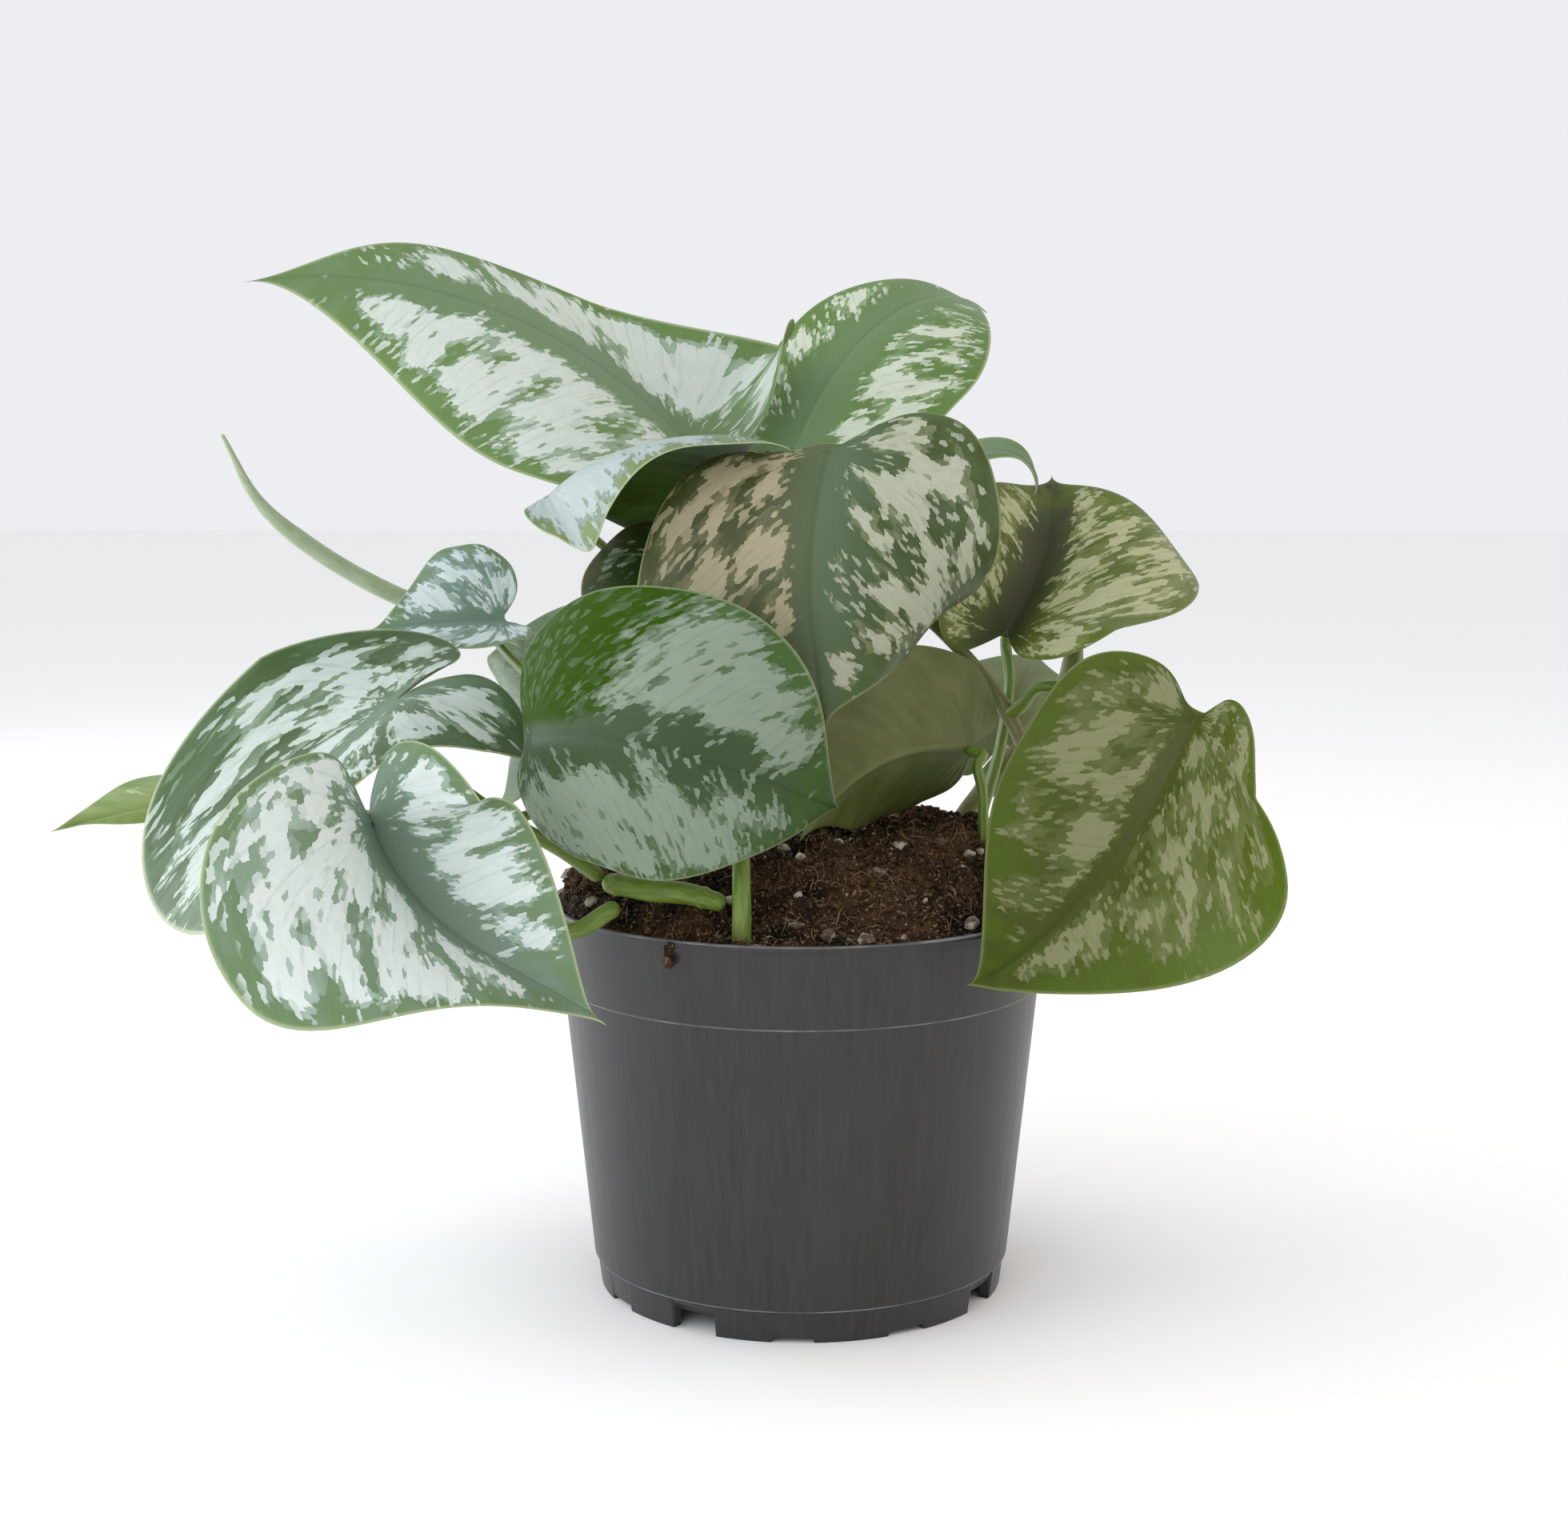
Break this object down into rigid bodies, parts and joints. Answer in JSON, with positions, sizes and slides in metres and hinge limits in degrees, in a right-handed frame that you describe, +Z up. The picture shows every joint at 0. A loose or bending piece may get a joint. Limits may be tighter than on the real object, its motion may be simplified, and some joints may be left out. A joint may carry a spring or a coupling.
{
  "type": "potted satin pothos",
  "caption": "Trailing houseplant with silver-marked heart-shaped leaves on stalks and stems, growing in compost in a round tapered nursery pot.",
  "frame": {"origin": "middle of the flat pad under the pot, on the surface that the pot stands on", "axes": "+Z up along the pot's axis, -Y towards the front, +X to the right seen from the front"},
  "size_m": [0.2851, 0.2081, 0.2492],
  "materials": {
    "pot_plastic": "injection-moulded matte grey polypropylene",
    "compost": "moist peat compost with perlite",
    "leaf_blade": "satin leaf, green with silver-grey markings",
    "leaf_stalk": "smooth green leaf stalk",
    "stem": "brownish-green stem"
  },
  "bodies": {
    "root": {"leaf_backlit": "leaf_blade", "leaf_centre": "leaf_blade", "leaf_curled": "leaf_blade", "leaf_folded": "leaf_blade", "leaf_front": "leaf_blade", "leaf_inner_left": "leaf_blade", "leaf_left_behind": "leaf_blade", "leaf_left_side": "leaf_blade", "leaf_lower_left": "leaf_blade", "leaf_pale_back": "leaf_blade", "leaf_right_front": "leaf_blade", "leaf_right_upper": "leaf_blade", "leaf_rolled": "leaf_blade", "leaf_shaded": "leaf_blade", "leaf_small_left": "leaf_blade", "leaf_top_back": "leaf_blade", "leaf_upper_left": "leaf_blade", "nursery_pot": "pot_plastic", "potting_soil": "compost", "stalk_backlit": "leaf_stalk", "stalk_centre": "leaf_stalk", "stalk_curled": "leaf_stalk", "stalk_folded": "leaf_stalk", "stalk_front": "leaf_stalk", "stalk_inner_left": "leaf_stalk", "stalk_left_behind": "leaf_stalk", "stalk_left_side": "leaf_stalk", "stalk_lower_left": "leaf_stalk", "stalk_pale_back": "leaf_stalk", "stalk_right_front": "leaf_stalk", "stalk_right_upper": "leaf_stalk", "stalk_shaded": "leaf_stalk", "stalk_small_left": "leaf_stalk", "stalk_top_back": "leaf_stalk", "stalk_upper_left": "leaf_stalk", "stem_back": "stem", "stem_creeping": "stem", "stem_left": "stem", "stem_right": "stem"}
  },
  "joints": []
}
